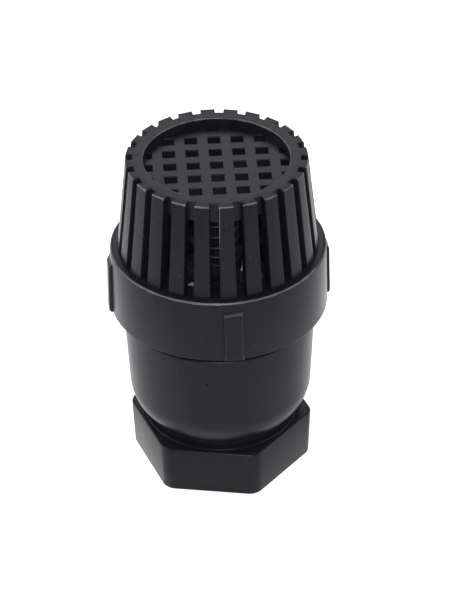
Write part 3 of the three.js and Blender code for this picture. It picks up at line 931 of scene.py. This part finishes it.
outer_edges = [edge for edge in slats.edges if upright(edge) and edge.calc_face_angle() > 1
               and min(corner.co.xy.length for corner in edge.verts) > strainer_top - 0.001]
round_edges(slats, outer_edges, slat_corner, 4)
top_edges = [edge for edge in slats.edges if edge.calc_face_angle() > 1
             and min(corner.co.z for corner in edge.verts) > cap_high.z - 1e-6
             and min(corner.co.xy.length for corner in edge.verts) > strainer_top - 0.003]
round_edges(slats, top_edges, slat_edge)
bmesh.ops.rotate(slats, verts=slats.verts,
                 matrix=Matrix.Rotation(slot_angle - math.pi / 2 + sector / 2, 3, "Z"))
bmesh.ops.spin(slats, geom=slats.verts[:] + slats.edges[:] + slats.faces[:], axis=(0, 0, 1),
               angle=2 * math.pi - sector, steps=slot_count - 1, use_duplicate=True)
tidy(slats)

# The grid's holes are clipped by the recess, and each flares out along its upper edge.
holes = bmesh.new()
reach = math.ceil(recess_radius / hole_pitch)
for column in range(-reach, reach + 1):
    for row in range(-reach, reach + 1):
        near = math.hypot(abs(column) * hole_pitch - hole_size / 2,
                          abs(row) * hole_pitch - hole_size / 2)
        if near < recess_radius - hole_size / 8:
            size = Matrix.Diagonal((hole_size, hole_size, 0.004, 1))
            place = Matrix.Translation((column * hole_pitch, row * hole_pitch, grid_low - 0.001))
            hole = bmesh.ops.create_cube(holes, size=1, matrix=place @ size)["verts"]
            top = [corner for corner in hole if corner.co.z > grid_low]
            for corner in top:
                corner.co.z = grid_top - hole_edge
            lid = [face for face in {face for corner in top for face in corner.link_faces}
                   if face.normal.z > 0.9]
            flare = bmesh.ops.extrude_face_region(holes, geom=lid)
            bmesh.ops.delete(holes, geom=lid, context="FACES_ONLY")
            lifted = [part for part in flare["geom"] if isinstance(part, bmesh.types.BMVert)]
            middle = Vector((column * hole_pitch, row * hole_pitch, 0))
            bmesh.ops.scale(holes, verts=lifted, vec=Vector((1, 1, 1))
                            + Vector((4, 4, 0)) * hole_edge / hole_size,
                            space=Matrix.Translation(-middle))
            bmesh.ops.translate(holes, verts=lifted, vec=(0, 0, 2 * hole_edge))
bmesh.ops.rotate(holes, verts=holes.verts, matrix=Matrix.Rotation(grid_angle, 3, "Z"))
tidy(holes)
inside = turned([(0, grid_low - 0.01, 0), (recess_radius - 0.0001, grid_low - 0.01, 0),
                 (recess_radius - 0.0001, cap_high.z, 0), (0, cap_high.z, 0)], 96)
hole_cutter = joined(holes, ("INTERSECT", inside))
grid = turned([(0, grid_low, 0), (recess_radius + 0.001, grid_low, 0),
               (recess_radius + 0.001, grid_top, 0), (0, grid_top, 0)], 96)
grid = joined(grid, ("DIFFERENCE", hole_cutter))

ribs = bmesh.new()
rib_depth = rib_proud + rib_root
rib_height = rib_top + rib_slope * rib_root / rib_proud - cap_low.z
rib_place = Matrix.Translation((0, -(skirt_radius + rib_proud - rib_depth / 2),
                                cap_low.z + rib_height / 2))
rib_size = Matrix.Diagonal((rib_width, rib_depth, rib_height, 1))
bmesh.ops.create_cube(ribs, size=1, matrix=rib_place @ rib_size)
for corner in ribs.verts:
    if corner.co.z > cap_low.z + rib_height / 2 and corner.co.y < -skirt_radius:
        corner.co.z -= rib_slope * rib_depth / rib_proud
    elif corner.co.y < -skirt_radius:
        corner.co.y -= rib_lean
proud_edges = [edge for edge in ribs.edges
               if min(-corner.co.y for corner in edge.verts) > skirt_radius]
round_edges(ribs, proud_edges, rib_edge, 4)
bmesh.ops.rotate(ribs, verts=ribs.verts, matrix=Matrix.Rotation(rib_angle, 3, "Z"))
bmesh.ops.spin(ribs, geom=ribs.verts[:] + ribs.edges[:] + ribs.faces[:], axis=(0, 0, 1),
               angle=2 * math.pi * (rib_count - 1) / rib_count, steps=rib_count - 1,
               use_duplicate=True)
tidy(ribs)

skirt_ridge = screw_ridge(skirt_bore + 0.0005, skirt_bore - cap_thread_depth, cap_thread_root,
                          cap_thread_crest, cap_thread_pitch, cap_thread_turns,
                          cap_low.z + skirt_thread_rise)
# The runner broke off here and left a burr on the skirt's upper edge.
burr_out = skirt_radius - 0.0002
burr = bmesh.new()
bmesh.ops.create_icosphere(burr, subdivisions=2, radius=burr_radius,
                           matrix=Matrix.Translation((burr_out * math.sin(burr_angle),
                                                      -burr_out * math.cos(burr_angle),
                                                      ledge - 0.0005)))
cap_shape = joined(skirt, ("UNION", burr), ("UNION", skirt_ridge), ("UNION", ribs),
                   ("UNION", slats), ("UNION", rim), ("UNION", grid))
# The cap's plastic has painted highlights: lighter colour along the slat tops' outer edge, the
# rim's edge at the recess and the skirt's upper edge.
cap_plastic_painted_highlights = moulded_material(
    "polypropylene_painted_highlights", plastic_dark, plastic_light, plastic_gloss,
    [(strainer_top, cap_high.z, 0.00042), (recess_radius, cap_high.z, 0.0004),
     (skirt_radius - skirt_edge * 0.3, ledge - skirt_edge * 0.3, 0.00035)])
cap_moulding = shown(cap_shape, "cap_moulding", cap_plastic_painted_highlights)
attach(cap_moulding, "strainer")
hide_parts("strainer_cap")
